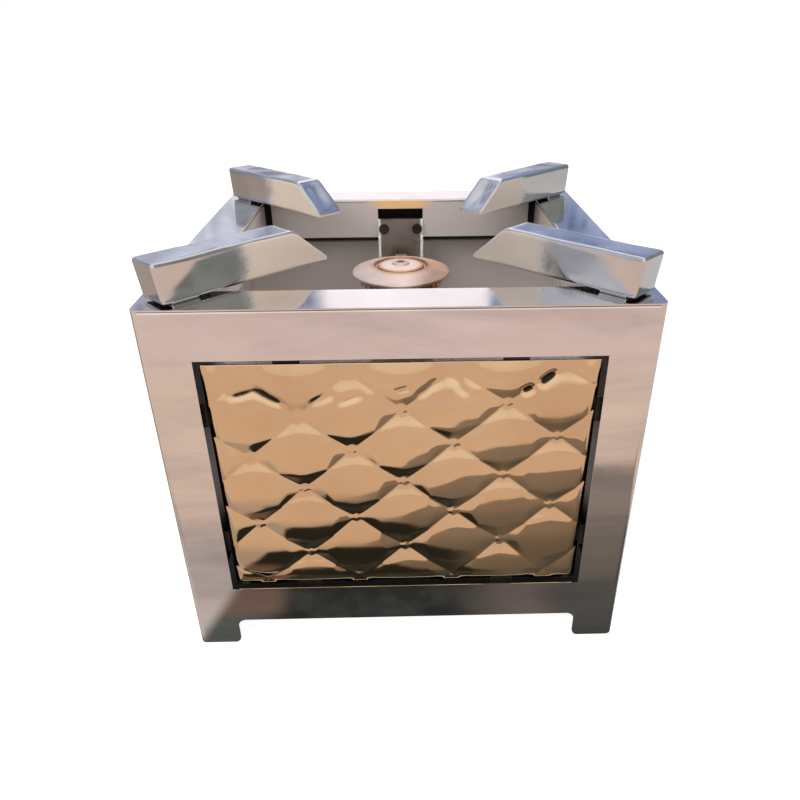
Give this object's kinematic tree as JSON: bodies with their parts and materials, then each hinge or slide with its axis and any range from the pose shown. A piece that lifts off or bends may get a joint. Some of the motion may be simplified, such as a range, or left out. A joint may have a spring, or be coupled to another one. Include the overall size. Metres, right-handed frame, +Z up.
{
  "type": "single burner gas stove",
  "caption": "Square polished steel box stove with a quilted gold front panel, folded diagonal pan supports, a round burner in its open top and a push-and-turn gas tap on the rear wall.",
  "frame": {"origin": "on the floor, under the middle of the whole part with its hose tail", "axes": "the quilted front faces -Y, +X is to the right seen from the front, +Z is up"},
  "size_m": [0.305, 0.337, 0.2836],
  "materials": {
    "polished_steel": "mirror polished, with hand marks",
    "gold_sheet": "gold mirror, embossed",
    "support_steel": "polished",
    "plain_steel": "mill",
    "dark_fasteners": "blackened",
    "burner_casting": "as cast",
    "burner_brass": "turned and polished",
    "gas_brass": "turned",
    "knob_plastic": "moulded"
  },
  "bodies": {
    "casing": {"front_frame": "polished_steel", "left_wall": "polished_steel", "right_wall": "polished_steel", "rear_wall": "polished_steel", "top_rim": "polished_steel", "quilted_panel": "gold_sheet", "panel_clips": "dark_fasteners", "pan_support_front_left": "support_steel", "pan_support_front_right": "support_steel", "pan_support_rear_left": "support_steel", "pan_support_rear_right": "support_steel", "pan_support_bolts": "dark_fasteners", "pan_support_nuts": "dark_fasteners", "burner_strap": "plain_steel", "strap_screws": "dark_fasteners", "strap_nuts": "dark_fasteners", "burner_body": "burner_casting", "burner_bolts": "dark_fasteners", "injector": "gas_brass", "tap_locknut": "gas_brass", "tap_body": "gas_brass", "tap_bonnet": "plain_steel", "tap_screws": "dark_fasteners", "knob_bezel": "polished_steel", "inlet_pipe": "gas_brass", "pipe_nut": "gas_brass", "hose_tail": "gas_brass", "tail_locknut": "gas_brass"},
    "ring": {"flame_ring": "burner_brass"},
    "cap": {"burner_cap": "burner_brass"},
    "shutter": {"air_shutter": "plain_steel", "shutter_screw": "dark_fasteners"},
    "plug": {"tap_plug": "gas_brass", "tap_spring": "plain_steel"},
    "knob_stem": {"tap_spindle": "plain_steel", "knob": "knob_plastic"}
  },
  "joints": [
    {"name": "tap_turn", "type": "hinge", "parent": "casing", "child": "plug", "pos_m": [0, 0.112, 0.2], "axis": [0, 1, 0], "range_deg": [0, 135]},
    {"name": "knob_push", "type": "slide", "parent": "plug", "child": "knob_stem", "axis": [0, -1, 0], "range_m": [0, 0.0025], "stiffness_N_per_m": 1200, "springref_m": -0.002, "deforming": ["tap_spring"]},
    {"name": "ring_lift", "type": "slide", "parent": "casing", "child": "ring", "axis": [0, 0, 1], "range_m": [0, 0.04]},
    {"name": "cap_lift", "type": "slide", "parent": "ring", "child": "cap", "axis": [0, 0, 1], "range_m": [0, 0.03]},
    {"name": "shutter_turn", "type": "hinge", "parent": "casing", "child": "shutter", "pos_m": [0, 0.074, 0.2], "axis": [0, 1, 0], "range_deg": [0, 60]}
  ]
}
